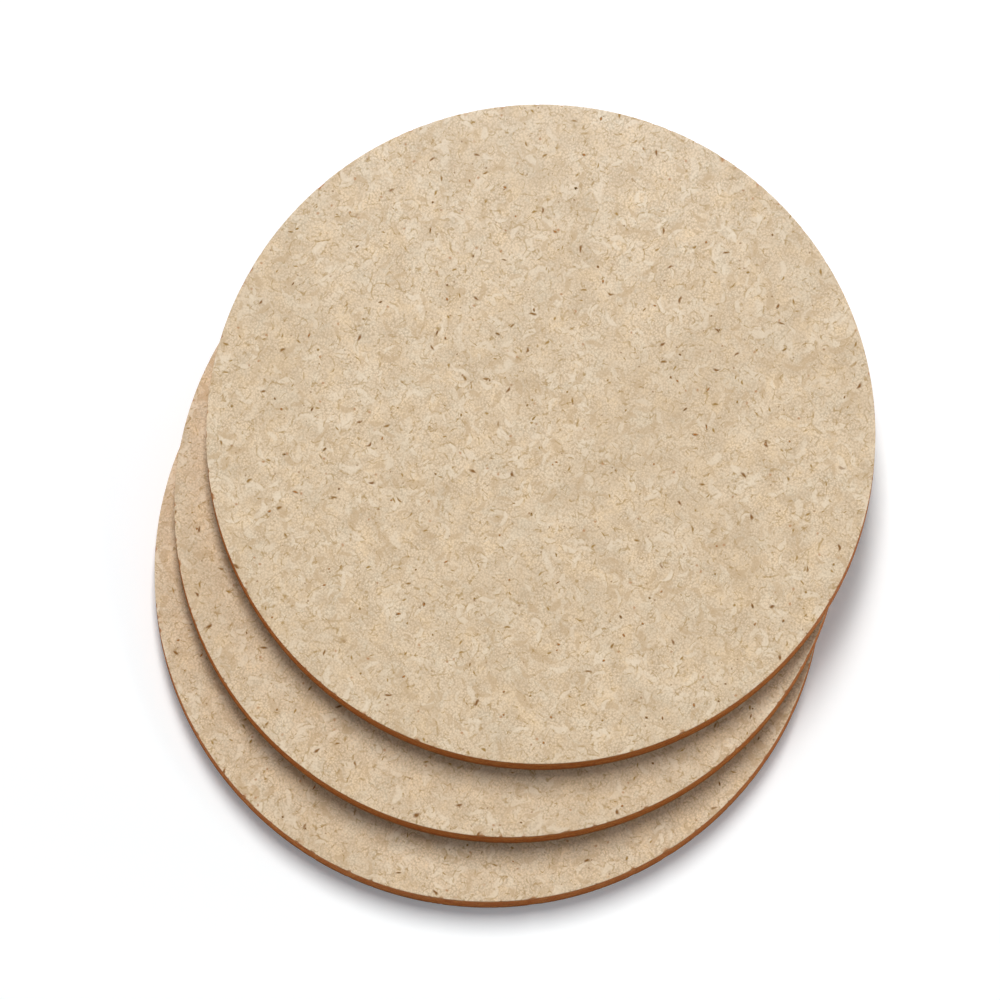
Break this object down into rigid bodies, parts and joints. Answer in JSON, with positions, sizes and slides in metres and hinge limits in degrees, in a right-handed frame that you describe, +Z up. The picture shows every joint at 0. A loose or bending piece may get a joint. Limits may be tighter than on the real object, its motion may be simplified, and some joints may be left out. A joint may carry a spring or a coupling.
{
  "type": "cork coaster set",
  "caption": "Fanned stack of loose round coasters, each a hardboard disc faced on both sides with thin pale cork, to stand a drinking glass on.",
  "frame": {"origin": "centre of the lowest coaster's underside, on the table", "axes": "+Z up through the stack, +X to the right and +Y towards the back, as the picture is seen"},
  "size_m": [0.1078, 0.1189, 0.018],
  "materials": {
    "cork": "matte",
    "hardboard": "matte",
    "bonding_film": "satin"
  },
  "bodies": {
    "bottom_coaster": {"bottom_back_cork": "cork", "bottom_back_film": "bonding_film", "bottom_core": "hardboard", "bottom_face_film": "bonding_film", "bottom_face_cork": "cork"},
    "middle_coaster": {"middle_back_cork": "cork", "middle_back_film": "bonding_film", "middle_core": "hardboard", "middle_face_film": "bonding_film", "middle_face_cork": "cork"},
    "top_coaster": {"top_back_cork": "cork", "top_back_film": "bonding_film", "top_core": "hardboard", "top_face_film": "bonding_film", "top_face_cork": "cork"}
  },
  "joints": [
    {"name": "middle_lift", "type": "slide", "parent": "bottom_coaster", "child": "middle_coaster", "axis": [0, 0, 1], "range_m": [0, 0.06]},
    {"name": "top_lift", "type": "slide", "parent": "middle_coaster", "child": "top_coaster", "axis": [0, 0, 1], "range_m": [0, 0.06]}
  ]
}
